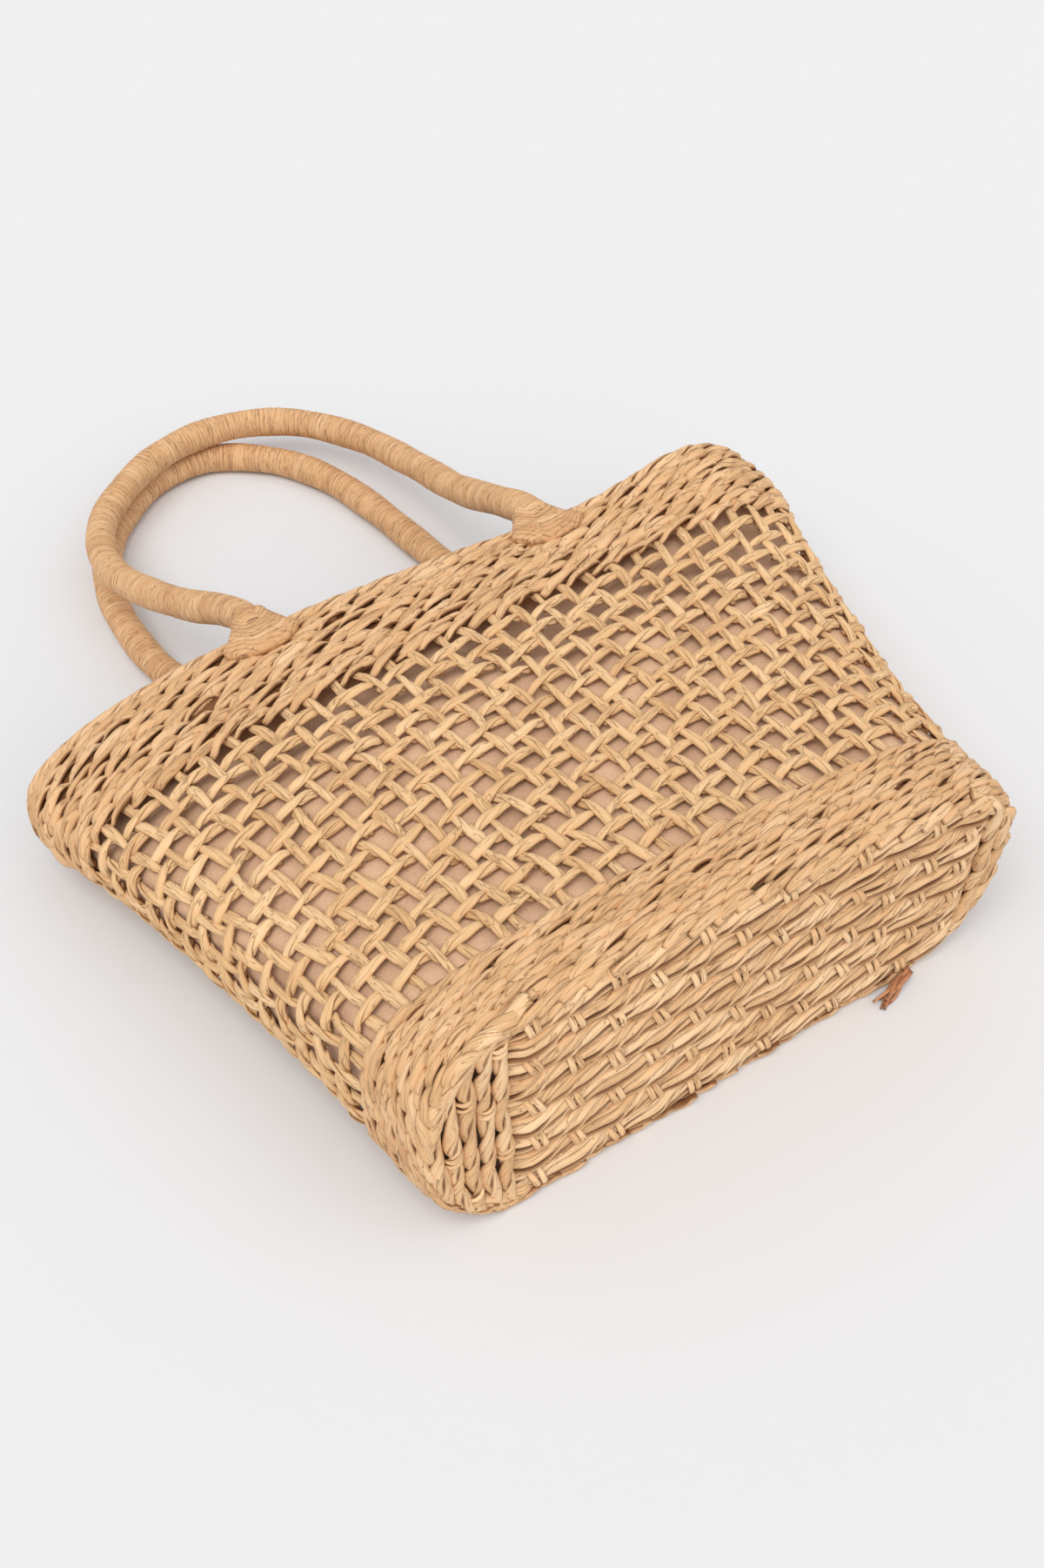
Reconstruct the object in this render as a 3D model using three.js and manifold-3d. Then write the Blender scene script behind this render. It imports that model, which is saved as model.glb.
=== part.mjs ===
// A straw basket bag that lies on its back: woven base, two close bands, an open net, a cloth lining
// and two wound handles held by wound patches at the rim.
// Millimetres, +Z up. The base faces -Y, the mouth faces +Y and the back panel lies on Z = 0.
import * as THREE from 'three';
import { mergeVertices } from 'three/addons/utils/BufferGeometryUtils.js';
import Module from 'manifold-3d';

const wasm = await Module();
wasm.setup();

// Driving sizes of the bag's body
const baseWidth = 310;
const baseDepth = 123;
const bodyHeight = 300;
const rimWidth = 436;
const rimDepth = 82;

// Walls and bands
const wallThickness = 5;
const baseThickness = 7;
const baseEdgeRound = 5;
const lowerBandHeight = 48;
const rimBandHeight = 57;
const rimEdgeRound = 1.5;
const netBar = 8;
const netColumns = 24;
const netRows = 5;

// Dents and bulges of the soft body
const rimHump = 30;
const rimCurve = 8;
const leftDroop = 10;
const leftCurl = 10;
const baseTwist = 11;

// The soft body's form as shares: how flat it lies, how full its right end is, where the hump sits across
// and how wide it is, and the height shares where the lift, the droop, the hump and the curl begin
const bottomPress = 1.12;
const rightEndFullness = 2.2;
const humpPlace = 0.87;
const humpWidth = 0.25;
const liftStart = 0.78;
const droopStart = 0.5;
const humpStart = 0.6;
const curlStart = 0.7;

// Lining
const liningThickness = 1.2;
const liningDrop = 34;
const liningEase = 1.5;
const liningSag = 15;

// Handles and the patches that hold them
const handleDiameter = 17;
const handleSpread = 168;
const handleReach = 238;
const handleSides = 10;
const handleSteps = 38;
const patchWidth = 42;
const patchLength = 44;
const patchDepth = 23;
const patchOverhang = 15;

// The gap between pieces that touch
const clearance = 0.3;

// The body's sections from the base to the rim.
// flare goes from the base's width, 0, to the rim's, 1, and taper does so for the depth.
const bodySections = [
  { height: 0.00, flare: 0.00, taper: 0.00, squareness: 3.50 },
  { height: 0.05, flare: 0.09, taper: -0.03, squareness: 3.35 },
  { height: 0.15, flare: 0.17, taper: 0.10, squareness: 3.10 },
  { height: 0.35, flare: 0.36, taper: 0.36, squareness: 2.85 },
  { height: 0.60, flare: 0.65, taper: 0.54, squareness: 2.75 },
  { height: 0.82, flare: 0.94, taper: 0.78, squareness: 2.70 },
  { height: 0.92, flare: 1.05, taper: 0.90, squareness: 2.75 },
  { height: 1.00, flare: 1.00, taper: 1.00, squareness: 2.90 },
];

// The lining's sections: height is a share of the body's height, and sag a share of the lining's sag.
const liningSections = [
  { height: 0.055, sag: 0.0 },
  { height: 0.15, sag: 0.0 },
  { height: 0.30, sag: 0.0 },
  { height: 0.45, sag: 0.05 },
  { height: 0.58, sag: 0.2 },
  { height: 0.68, sag: 0.55 },
  { height: 0.77, sag: 1.0 },
  { height: 0.83, sag: 0.7 },
];

// The handles' routes from the right foot to the left one. across is a share of half the handle spread,
// reach a share of the handle reach, and height a share of the foot's height above where the handle lies.
const frontHandleRoute = [
  { across: 1.00, reach: 0.05, height: 1.00 },
  { across: 0.97, reach: 0.14, height: 0.86 },
  { across: 0.92, reach: 0.31, height: 0.555 },
  { across: 0.905, reach: 0.54, height: 0.255 },
  { across: 0.785, reach: 0.78, height: 0.04 },
  { across: 0.50, reach: 0.925, height: 0.00 },
  { across: 0.18, reach: 0.985, height: 0.00 },
  { across: -0.155, reach: 1.00, height: 0.00 },
  { across: -0.525, reach: 0.97, height: 0.00 },
  { across: -0.88, reach: 0.89, height: 0.00 },
  { across: -1.155, reach: 0.79, height: 0.01 },
  { across: -1.31, reach: 0.655, height: 0.115 },
  { across: -1.36, reach: 0.517, height: 0.275 },
  { across: -1.29, reach: 0.374, height: 0.455 },
  { across: -1.16, reach: 0.223, height: 0.69 },
  { across: -1.04, reach: 0.12, height: 0.89 },
  { across: -1.00, reach: 0.05, height: 1.00 },
];
const backHandleRoute = [
  { across: 1.00, reach: 0.05, height: 1.00 },
  { across: 0.93, reach: 0.13, height: 1.00 },
  { across: 0.79, reach: 0.265, height: 0.50 },
  { across: 0.71, reach: 0.43, height: 0.00 },
  { across: 0.63, reach: 0.61, height: 0.00 },
  { across: 0.49, reach: 0.78, height: 0.00 },
  { across: 0.24, reach: 0.91, height: 0.00 },
  { across: -0.12, reach: 0.99, height: 0.00 },
  { across: -0.50, reach: 0.985, height: 0.00 },
  { across: -0.905, reach: 0.89, height: 0.00 },
  { across: -1.20, reach: 0.755, height: 0.00 },
  { across: -1.34, reach: 0.61, height: 0.00 },
  { across: -1.38, reach: 0.455, height: 0.00 },
  { across: -1.34, reach: 0.30, height: 0.50 },
  { across: -1.20, reach: 0.16, height: 1.00 },
  { across: -1.00, reach: 0.05, height: 1.00 },
];

// Values that follow from the sizes above
const handleRadius = handleDiameter / 2;
const rimLift = handleRadius - wallThickness / 2;
const profileSamples = 360;

// Row values between a table's rows, along a smooth curve through them
function tableValue(table, column, height) {
  const last = table.length - 1;
  const place = Math.min(Math.max(height, table[0].height), table[last].height);
  let row = 0;
  while (row < last - 1 && place > table[row + 1].height) {
    row += 1;
  }
  const slopeAt = (i) => {
    const before = table[Math.max(i - 1, 0)];
    const after = table[Math.min(i + 1, last)];
    return (after[column] - before[column]) / (after.height - before.height);
  };
  const from = table[row];
  const to = table[row + 1];
  const span = to.height - from.height;
  const t = (place - from.height) / span;
  return (2 * t ** 3 - 3 * t ** 2 + 1) * from[column]
    + (t ** 3 - 2 * t ** 2 + t) * span * slopeAt(row)
    + (3 * t ** 2 - 2 * t ** 3) * to[column]
    + (t ** 3 - t ** 2) * span * slopeAt(row + 1);
}

// How far a height share lies between two shares, from 0 to 1
function rise(height, from, to) {
  return Math.min(Math.max((height - from) / (to - from), 0), 1);
}

function signedPower(value, power) {
  return Math.sign(value) * Math.abs(value) ** power;
}

// The measures of the section at a height share
function sectionAt(height) {
  const flare = tableValue(bodySections, 'flare', height);
  const taper = tableValue(bodySections, 'taper', height);
  const lift = rimLift * rise(height, liftStart, 1) ** 2;
  return {
    height,
    lift,
    halfWidth: (baseWidth + (rimWidth - baseWidth) * flare) / 2,
    depth: baseDepth + (rimDepth - baseDepth) * taper,
    squareness: tableValue(bodySections, 'squareness', height),
  };
}

// A point of the section as shares: side from -1 to 1, level from 0 at the bottom to 1 at the top.
// The angle starts at the middle of the bottom and turns towards +X.
function sectionShares(section, angle) {
  const rightward = Math.max(Math.sin(angle), 0);
  const power = 2 / (section.squareness + rightEndFullness * rightward * section.height ** 2);
  const side = signedPower(Math.sin(angle), power);
  const up = signedPower(-Math.cos(angle), power);
  const level = up < 0 ? Math.max(0.5 + 0.5 * up * bottomPress, 0) : 0.5 + 0.5 * up;
  return { side, level, topness: Math.max(-Math.cos(angle), 0) };
}

// The place in space of section shares, drawn in from the outer surface by inset and lowered by sag
function placeInBody(section, shares, inset, sag = 0) {
  const droop = leftDroop * Math.max(-shares.side, 0) ** 2 * rise(section.height, droopStart, 1);
  const room = section.depth - droop - section.lift;
  const x = shares.side * (section.halfWidth - inset);
  const hump = rimHump * Math.exp(-(((shares.side - humpPlace) / humpWidth) ** 2))
    * shares.topness * rise(section.height, humpStart, 1) ** 1.5;
  const z = section.lift + inset + shares.level * (room - 2 * inset) + hump - sag * shares.topness ** 2;
  const bow = rimCurve * (1 - shares.side ** 2) * rise(section.height, droopStart, 1) ** 2;
  const twist = baseTwist * (x / section.halfWidth) * (1 - z / section.depth) * (1 - section.height) ** 2;
  const curl = leftCurl * Math.max(-shares.side, 0) ** 6 * rise(section.height, curlStart, 1) ** 1.5;
  return new THREE.Vector3(x, bodyHeight * section.height + bow + twist - curl, z);
}

// The angles at which a section is cut, at equal steps of its outline for each share of it
function sectionAngles(section, turns) {
  const lengths = [0];
  let before = placeInBody(section, sectionShares(section, 0), 0);
  for (let i = 1; i <= profileSamples; i += 1) {
    const now = placeInBody(section, sectionShares(section, (2 * Math.PI * i) / profileSamples), 0);
    lengths.push(lengths[i - 1] + now.distanceTo(before));
    before = now;
  }
  let i = 0;
  return turns.map((turn) => {
    const goal = turn * lengths[profileSamples];
    while (lengths[i + 1] < goal) {
      i += 1;
    }
    const share = (goal - lengths[i]) / (lengths[i + 1] - lengths[i]);
    return (2 * Math.PI * (i + share)) / profileSamples;
  });
}

// The outline is cut at both edges of each upright bar of the net, and all walls share these cuts
function outlineTurns() {
  const outline = 2 * (baseWidth + baseDepth);
  const halfBar = netBar / 2 / outline;
  const turns = [];
  for (let column = 0; column < netColumns; column += 1) {
    const middle = (column + 0.5) / netColumns;
    turns.push(middle - halfBar, middle + halfBar);
  }
  return turns;
}
const turns = outlineTurns();

// A ring of points round the body at a distance from the base, drawn in by inset
function bodyRing(distance, inset, sag = 0) {
  const section = sectionAt(distance / bodyHeight);
  return sectionAngles(section, turns)
    .map((angle) => placeInBody(section, sectionShares(section, angle), inset, sag));
}

// Closed surfaces from rings: a hose that closes on itself, or a skin with a fan at both ends
function geometryOf(points, triangles) {
  const geometry = new THREE.BufferGeometry();
  geometry.setAttribute('position', new THREE.Float32BufferAttribute(points.flatMap((p) => p.toArray()), 3));
  geometry.setIndex(triangles.flat());
  geometry.computeVertexNormals();
  return geometry;
}

function ringTriangles(rings, count, closed) {
  const triangles = [];
  const bands = closed ? rings : rings - 1;
  for (let ring = 0; ring < bands; ring += 1) {
    const next = (ring + 1) % rings;
    for (let i = 0; i < count; i += 1) {
      const j = (i + 1) % count;
      triangles.push([ring * count + i, next * count + j, ring * count + j]);
      triangles.push([ring * count + i, next * count + i, next * count + j]);
    }
  }
  return triangles;
}

function hoseOfRings(rings) {
  return geometryOf(rings.flat(), ringTriangles(rings.length, rings[0].length, true));
}

function middleOf(ring) {
  return ring.reduce((sum, point) => sum.add(point), new THREE.Vector3()).divideScalar(ring.length);
}

function skinOfRings(rings) {
  const count = rings[0].length;
  const points = [...rings.flat(), middleOf(rings[0]), middleOf(rings[rings.length - 1])];
  const triangles = ringTriangles(rings.length, count, false);
  const lastRing = (rings.length - 1) * count;
  for (let i = 0; i < count; i += 1) {
    const j = (i + 1) % count;
    triangles.push([i, j, points.length - 2]);
    triangles.push([lastRing + j, lastRing + i, points.length - 1]);
  }
  return geometryOf(points, triangles);
}

// A wall round the body between two distances from the base, grown on all sides by a margin
function bandRings(from, to, steps, edgeRound, margin = 0) {
  const distances = [];
  const start = from - margin;
  const end = to + margin;
  for (let step = 0; step <= steps; step += 1) {
    distances.push(start + ((end - start) * step) / steps);
  }
  const roundAt = (distance) => (distance === end ? edgeRound : 0);
  const outer = distances.map((distance) => bodyRing(distance, roundAt(distance) - margin));
  const inner = distances.reverse()
    .map((distance) => bodyRing(distance, wallThickness - roundAt(distance) + margin));
  return [...outer, ...inner];
}

function baseGeometry() {
  const midInset = baseDepth / 3;
  const liningInset = wallThickness + liningEase;
  const rings = [
    [0, midInset],
    [0, liningInset + baseEdgeRound / 2],
    [0, baseEdgeRound],
    [baseEdgeRound / 2, baseEdgeRound / 4],
    [baseThickness, 0],
    [baseThickness, liningInset],
    [baseThickness, midInset],
  ];
  return skinOfRings(rings.map(([distance, inset]) => bodyRing(distance, inset)));
}

function lowerBandGeometry() {
  return hoseOfRings(bandRings(baseThickness + clearance, lowerBandHeight, 4, 0));
}

function rimBandGeometry() {
  return hoseOfRings(bandRings(bodyHeight - rimBandHeight, bodyHeight, 4, rimEdgeRound));
}

// The net: a wall cut through at each crossing of a gap column and a gap row
function netGeometry() {
  const from = lowerBandHeight + clearance;
  const to = bodyHeight - rimBandHeight - clearance;
  const pitch = (to - from - netBar) / netRows;
  const distances = [];
  for (let row = 0; row <= netRows; row += 1) {
    distances.push(from + row * pitch, from + row * pitch + netBar);
  }
  const outer = distances.map((distance) => bodyRing(distance, 0));
  const inner = distances.map((distance) => bodyRing(distance, wallThickness));
  const count = turns.length;
  const points = [...outer.flat(), ...inner.flat()];
  const innerStart = outer.length * count;
  const isBar = (row, column) => row >= 0 && row < outer.length - 1
    && (row % 2 === 0 || ((column % count) + count) % 2 === 0);
  const triangles = [];
  const quad = (a, b, c, d) => triangles.push([a, c, b], [a, d, c]);
  for (let row = 0; row < outer.length - 1; row += 1) {
    for (let column = 0; column < count; column += 1) {
      if (!isBar(row, column)) {
        continue;
      }
      const a = row * count + column;
      const b = row * count + ((column + 1) % count);
      const c = b + count;
      const d = a + count;
      quad(a, b, c, d);
      quad(innerStart + d, innerStart + c, innerStart + b, innerStart + a);
      if (!isBar(row - 1, column)) {
        quad(b, a, innerStart + a, innerStart + b);
      }
      if (!isBar(row + 1, column)) {
        quad(d, c, innerStart + c, innerStart + d);
      }
      if (!isBar(row, column - 1)) {
        quad(a, d, innerStart + d, innerStart + a);
      }
      if (!isBar(row, column + 1)) {
        quad(c, b, innerStart + b, innerStart + c);
      }
    }
  }
  return geometryOf(points, triangles);
}

// The lining: a thin open bag inside the walls, which hangs a little slack under the rim
function liningGeometry() {
  const outerInset = wallThickness + liningEase;
  const innerInset = outerInset + liningThickness;
  const floorFrom = baseThickness + clearance;
  const topFrom = bodyHeight - liningDrop;
  const rows = liningSections.map((row) => [row.height * bodyHeight, row.sag * liningSag]);
  const outer = [
    bodyRing(floorFrom, baseDepth / 3),
    bodyRing(floorFrom, outerInset),
    ...rows.map(([distance, sag]) => bodyRing(distance, outerInset, sag)),
    bodyRing(topFrom, outerInset),
  ];
  const inner = [
    bodyRing(floorFrom + liningThickness, baseDepth / 3),
    bodyRing(floorFrom + liningThickness, innerInset),
    ...rows.map(([distance, sag]) => bodyRing(distance, innerInset, sag)),
    bodyRing(topFrom, innerInset),
  ];
  return skinOfRings([...outer, ...inner.reverse()]);
}

// The rim's edge at a place across, on the front panel or on the back one, at the middle of the wall
function rimEdge(across, onFront) {
  const section = sectionAt(1);
  const quarter = Math.PI / 2;
  let low = onFront ? quarter : 0;
  let high = onFront ? 2 * quarter : quarter;
  const side = Math.abs(across) * 2 / rimWidth;
  const mirror = Math.sign(across);
  for (let step = 0; step < 40; step += 1) {
    const middle = (low + high) / 2;
    const outward = Math.abs(sectionShares(section, mirror * middle).side) < side;
    if (outward === onFront) {
      high = middle;
    } else {
      low = middle;
    }
  }
  return placeInBody(section, sectionShares(section, mirror * low), wallThickness / 2);
}

// The handle's route: a foot that stands square on the rim's edge, then the table's points
function handleRoute(table, onFront) {
  const lieHeight = onFront ? handleRadius + handleDiameter + 2 * clearance : handleRadius;
  const half = handleSpread / 2;
  const feet = [1, -1].map((side) => {
    const edge = rimEdge(side * half, onFront);
    const nearer = rimEdge(side * (half - handleRadius), onFront);
    return new THREE.Vector3(side * half, nearer.y + clearance, Math.max(edge.z, handleRadius));
  });
  const middle = table.map((row) => {
    const foot = row.across > 0 ? feet[0] : feet[1];
    const z = lieHeight + (foot.z - lieHeight) * row.height;
    return new THREE.Vector3(row.across * half, foot.y + handleReach * row.reach, z);
  });
  return new THREE.CatmullRomCurve3([feet[0], ...middle, feet[1]]);
}

function handleGeometry(table, onFront, margin = 0) {
  const radius = handleRadius + margin;
  const section = new THREE.Shape();
  for (let side = 0; side < handleSides; side += 1) {
    const angle = (2 * Math.PI * side) / handleSides;
    const corner = [radius * Math.cos(angle), radius * Math.sin(angle)];
    if (side === 0) {
      section.moveTo(...corner);
    } else {
      section.lineTo(...corner);
    }
  }
  section.closePath();
  return new THREE.ExtrudeGeometry(section, {
    steps: handleSteps,
    extrudePath: handleRoute(table, onFront),
    bevelEnabled: false,
  });
}

// Solids for cuts, from geometries, and back again
function solidOf(geometry) {
  const bare = geometry.clone();
  bare.deleteAttribute('normal');
  bare.deleteAttribute('uv');
  const merged = mergeVertices(bare, 1e-3);
  return new wasm.Manifold(new wasm.Mesh({
    numProp: 3,
    vertProperties: new Float32Array(merged.attributes.position.array),
    triVerts: new Uint32Array(merged.index.array),
  }));
}

function geometryOfSolid(solid) {
  const mesh = solid.getMesh();
  const geometry = new THREE.BufferGeometry();
  geometry.setAttribute('position', new THREE.BufferAttribute(mesh.vertProperties, 3));
  geometry.setIndex(new THREE.BufferAttribute(mesh.triVerts, 1));
  geometry.computeVertexNormals();
  return geometry;
}

// A wound patch: a flat lump astride the rim's edge, cut to the wall, to the handle's foot and to the floor
function patchGeometry(side, onFront, rimSolid, handleSolid) {
  const edge = rimEdge((side * handleSpread) / 2, onFront);
  const middle = edge.clone();
  middle.y += patchOverhang - patchLength / 2;
  middle.z = Math.max(edge.z, handleRadius);
  const lump = new THREE.SphereGeometry(0.5, 14, 10);
  lump.rotateX(Math.PI / 2);
  lump.scale(patchWidth, patchLength, patchDepth);
  lump.translate(middle.x, middle.y, middle.z);
  const underFloor = new THREE.BoxGeometry(patchWidth * 2, patchLength * 2, patchDepth);
  underFloor.translate(middle.x, middle.y, -patchDepth / 2);
  return geometryOfSolid(
    solidOf(lump).subtract(rimSolid).subtract(handleSolid).subtract(solidOf(underFloor)),
  );
}

// Materials
function material(colour, roughness) {
  return new THREE.MeshStandardMaterial({ color: colour, roughness, metalness: 0 });
}
const straw = material('#d2a76c', 0.75);
const netStraw = material('#d6ac74', 0.75);
const windingStraw = material('#c79a62', 0.7);
const liningCloth = material('#cd9f78', 0.9);

const group = new THREE.Group();

function addPiece(name, geometry, pieceMaterial) {
  const mesh = new THREE.Mesh(geometry, pieceMaterial);
  mesh.name = name;
  group.add(mesh);
}

addPiece('base', baseGeometry(), straw);
addPiece('lower_band', lowerBandGeometry(), straw);
addPiece('net_wall', netGeometry(), netStraw);
addPiece('rim_band', rimBandGeometry(), straw);
addPiece('lining', liningGeometry(), liningCloth);
addPiece('handle_front', handleGeometry(frontHandleRoute, true), windingStraw);
addPiece('handle_back', handleGeometry(backHandleRoute, false), windingStraw);

const rimSpace = solidOf(hoseOfRings(
  bandRings(bodyHeight - rimBandHeight, bodyHeight, 4, 0, clearance),
));
const patchNames = [
  ['anchor_front_right', 1, true, frontHandleRoute],
  ['anchor_front_left', -1, true, frontHandleRoute],
  ['anchor_back_right', 1, false, backHandleRoute],
  ['anchor_back_left', -1, false, backHandleRoute],
];
for (const [name, side, onFront, route] of patchNames) {
  const handleSpace = solidOf(handleGeometry(route, onFront, clearance));
  addPiece(name, patchGeometry(side, onFront, rimSpace, handleSpace), windingStraw);
}

// The origin is under the middle of the whole bag, on the surface that it lies on
const box = new THREE.Box3().setFromObject(group);
group.position.set(-(box.min.x + box.max.x) / 2, -(box.min.y + box.max.y) / 2, -box.min.z);

export default group;
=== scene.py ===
# A straw basket bag that lies on its back: woven straw strands, wound handles and a cloth lining,
# built around the fixed frame. Metres, +Z up, the base faces -Y and the mouth faces +Y.
import math

import bpy
import numpy as np
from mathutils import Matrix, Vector


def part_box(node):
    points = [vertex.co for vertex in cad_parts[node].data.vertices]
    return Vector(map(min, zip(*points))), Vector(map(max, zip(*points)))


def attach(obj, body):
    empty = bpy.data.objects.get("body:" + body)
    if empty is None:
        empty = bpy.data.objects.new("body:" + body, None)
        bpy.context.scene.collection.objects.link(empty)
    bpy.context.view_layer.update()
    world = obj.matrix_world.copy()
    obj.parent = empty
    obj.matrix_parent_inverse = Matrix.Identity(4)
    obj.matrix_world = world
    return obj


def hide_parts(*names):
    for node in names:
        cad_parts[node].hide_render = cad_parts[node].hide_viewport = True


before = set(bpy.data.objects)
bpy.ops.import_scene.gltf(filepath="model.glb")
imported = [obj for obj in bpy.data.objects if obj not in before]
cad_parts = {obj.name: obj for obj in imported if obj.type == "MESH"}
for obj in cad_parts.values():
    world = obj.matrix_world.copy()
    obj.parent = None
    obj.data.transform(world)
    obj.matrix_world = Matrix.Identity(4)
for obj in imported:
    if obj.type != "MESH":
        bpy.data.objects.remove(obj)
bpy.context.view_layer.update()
SEED = 7

# The body's driving sizes, as in the frame
BASE_WIDTH = 0.310
BASE_DEPTH = 0.123
BODY_HEIGHT = 0.300
RIM_WIDTH = 0.436
RIM_DEPTH = 0.082
WALL = 0.005
LOWER_BAND = 0.048
RIM_BAND = 0.057
RIM_HUMP = 0.030
RIM_CURVE = 0.008
LEFT_DROOP = 0.010
LEFT_CURL = 0.010
BASE_TWIST = 0.011
HANDLE_DIAMETER = 0.017
HANDLE_SPREAD = 0.168
HANDLE_REACH = 0.238
CLEARANCE = 0.0003
LINING_DROP = 0.034
PATCH_FOOT = 0.0105
PATCH_SPREAD = 0.0220
PATCH_THICK = 0.0085
PATCH_ABOVE = 0.010
PATCH_BELOW = 0.021

# The soft body's form as shares
BOTTOM_PRESS = 1.12
RIGHT_END_FULLNESS = 2.2
HUMP_PLACE = 0.87
HUMP_WIDTH = 0.25
LIFT_START = 0.78
DROOP_START = 0.5
HUMP_START = 0.6
CURL_START = 0.7

# The body's sections: height, flare from the base's width to the rim's, taper of the depth, squareness
SECTIONS = np.array([
    (0.00, 0.00, 0.00, 3.50),
    (0.05, 0.09, -0.03, 3.35),
    (0.15, 0.17, 0.10, 3.10),
    (0.35, 0.36, 0.36, 2.85),
    (0.60, 0.65, 0.54, 2.75),
    (0.82, 0.94, 0.78, 2.70),
    (0.92, 1.05, 0.90, 2.75),
    (1.00, 1.00, 1.00, 2.90),
])
FLARE, TAPER, SQUARENESS = 1, 2, 3

# The handles' routes from the right foot to the left one: across as a share of half the spread,
# reach as a share of the handle reach, height as a share of the foot's height above where it lies
FRONT_ROUTE = [
    (1.00, 0.05, 1.00), (0.97, 0.14, 0.86), (0.92, 0.31, 0.555), (0.905, 0.54, 0.255),
    (0.785, 0.78, 0.04), (0.50, 0.925, 0.00), (0.18, 0.985, 0.00), (-0.155, 1.00, 0.00),
    (-0.525, 0.97, 0.00), (-0.88, 0.89, 0.00), (-1.155, 0.79, 0.01), (-1.31, 0.655, 0.115),
    (-1.36, 0.517, 0.275), (-1.29, 0.374, 0.455), (-1.16, 0.223, 0.69), (-1.04, 0.12, 0.89),
    (-1.00, 0.05, 1.00),
]
BACK_ROUTE = [
    (1.00, 0.05, 1.00), (0.93, 0.13, 1.00), (0.79, 0.265, 0.50), (0.71, 0.43, 0.00),
    (0.63, 0.61, 0.00), (0.49, 0.78, 0.00), (0.24, 0.91, 0.00), (-0.12, 0.99, 0.00),
    (-0.50, 0.985, 0.00), (-0.905, 0.89, 0.00), (-1.20, 0.755, 0.00), (-1.34, 0.61, 0.00),
    (-1.38, 0.455, 0.00), (-1.34, 0.30, 0.50), (-1.20, 0.16, 1.00), (-1.00, 0.05, 1.00),
]

# The weave
WARPS = 64
NET_ROWS = 14
NET_PITCH_CHANGE = 0.16
LOWER_ROWS = 8
LOWER_START = 0.001
RIM_ROWS = 9
EDGE_ROOM = 0.006
ROW_TILT_LOW = 0.0065
ROW_TILT_HIGH = 0.0095
WALL_MIDDLE = 0.0034
FLOOR_GAP = 0.0003

HANDLE_RADIUS = HANDLE_DIAMETER / 2
RIM_LIFT = HANDLE_RADIUS - WALL / 2
NET_FROM = LOWER_BAND / BODY_HEIGHT
NET_TO = 1 - RIM_BAND / BODY_HEIGHT

# The body's own origin is the middle of the base's lower edge; the frame's is under its box's middle
RIM_LOW, RIM_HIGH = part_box("rim_band")
BODY_ORIGIN = np.array([
    (RIM_LOW.x + RIM_HIGH.x) / 2,
    RIM_HIGH.y - BODY_HEIGHT - RIM_CURVE,
    0.0,
])

# The camera, as the photograph was taken
CAMERA_AZIMUTH = math.radians(-30.76)
CAMERA_ELEVATION = math.radians(45.71)
CAMERA_DISTANCE = 1.0
CAMERA_TARGET = BODY_ORIGIN + np.array([0.016, 0.210, 0.0])
LENS = 43.95
SENSOR = 36.0


# Surface of the body

def rise(height, start, end):
    return np.clip((height - start) / (end - start), 0, 1)


def smoothstep(x):
    x = np.clip(x, 0, 1)
    return x * x * (3 - 2 * x)


def hermite(t, start, start_slope, end, end_slope):
    """A smooth course from start to end as t goes from 0 to 1."""
    return (
        (2 * t**3 - 3 * t**2 + 1) * start + (t**3 - 2 * t**2 + t) * start_slope
        + (3 * t**2 - 2 * t**3) * end + (t**3 - t**2) * end_slope
    )


def section_value(column, height):
    """A column of the section table between its rows, along a smooth curve through them."""
    at = SECTIONS[:, 0]
    values = SECTIONS[:, column]
    slopes = np.empty(len(at))
    slopes[1:-1] = (values[2:] - values[:-2]) / (at[2:] - at[:-2])
    slopes[0] = (values[1] - values[0]) / (at[1] - at[0])
    slopes[-1] = (values[-1] - values[-2]) / (at[-1] - at[-2])
    height = np.clip(height, 0, 1)
    row = np.clip(np.searchsorted(at, height, side="left") - 1, 0, len(at) - 2)
    span = at[row + 1] - at[row]
    t = (height - at[row]) / span
    return hermite(t, values[row], span * slopes[row], values[row + 1], span * slopes[row + 1])


def body_point(height, angle, inset=0.0):
    """Points of the body at height shares and angles, from the bottom's middle towards +X."""
    squareness = section_value(SQUARENESS, height)
    half_width = (BASE_WIDTH + (RIM_WIDTH - BASE_WIDTH) * section_value(FLARE, height)) / 2
    depth = BASE_DEPTH + (RIM_DEPTH - BASE_DEPTH) * section_value(TAPER, height)
    lift = RIM_LIFT * rise(height, LIFT_START, 1) ** 2
    sine = np.sin(angle)
    rising = -np.cos(angle)
    power = 2 / (squareness + RIGHT_END_FULLNESS * np.clip(sine, 0, None) * height**2)
    side = np.sign(sine) * np.abs(sine) ** power
    up = np.sign(rising) * np.abs(rising) ** power
    pressed = np.maximum(0.5 + 0.5 * up * BOTTOM_PRESS, 0)
    level = np.where(up < 0, pressed, 0.5 + 0.5 * up)
    topness = np.clip(rising, 0, None)
    droop = LEFT_DROOP * np.clip(-side, 0, None) ** 2 * rise(height, DROOP_START, 1)
    room = depth - droop - lift
    x = side * (half_width - inset)
    hump = RIM_HUMP * np.exp(-(((side - HUMP_PLACE) / HUMP_WIDTH) ** 2))
    hump = hump * topness * rise(height, HUMP_START, 1) ** 1.5
    z = lift + inset + level * (room - 2 * inset) + hump
    bow = RIM_CURVE * (1 - side**2) * rise(height, DROOP_START, 1) ** 2
    twist = BASE_TWIST * (x / half_width) * (1 - z / depth) * (1 - np.clip(height, 0, 1)) ** 2
    curl = LEFT_CURL * np.clip(-side, 0, None) ** 6 * rise(height, CURL_START, 1) ** 1.5
    return np.stack([x, BODY_HEIGHT * height + bow + twist - curl, z], -1) + BODY_ORIGIN


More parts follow.
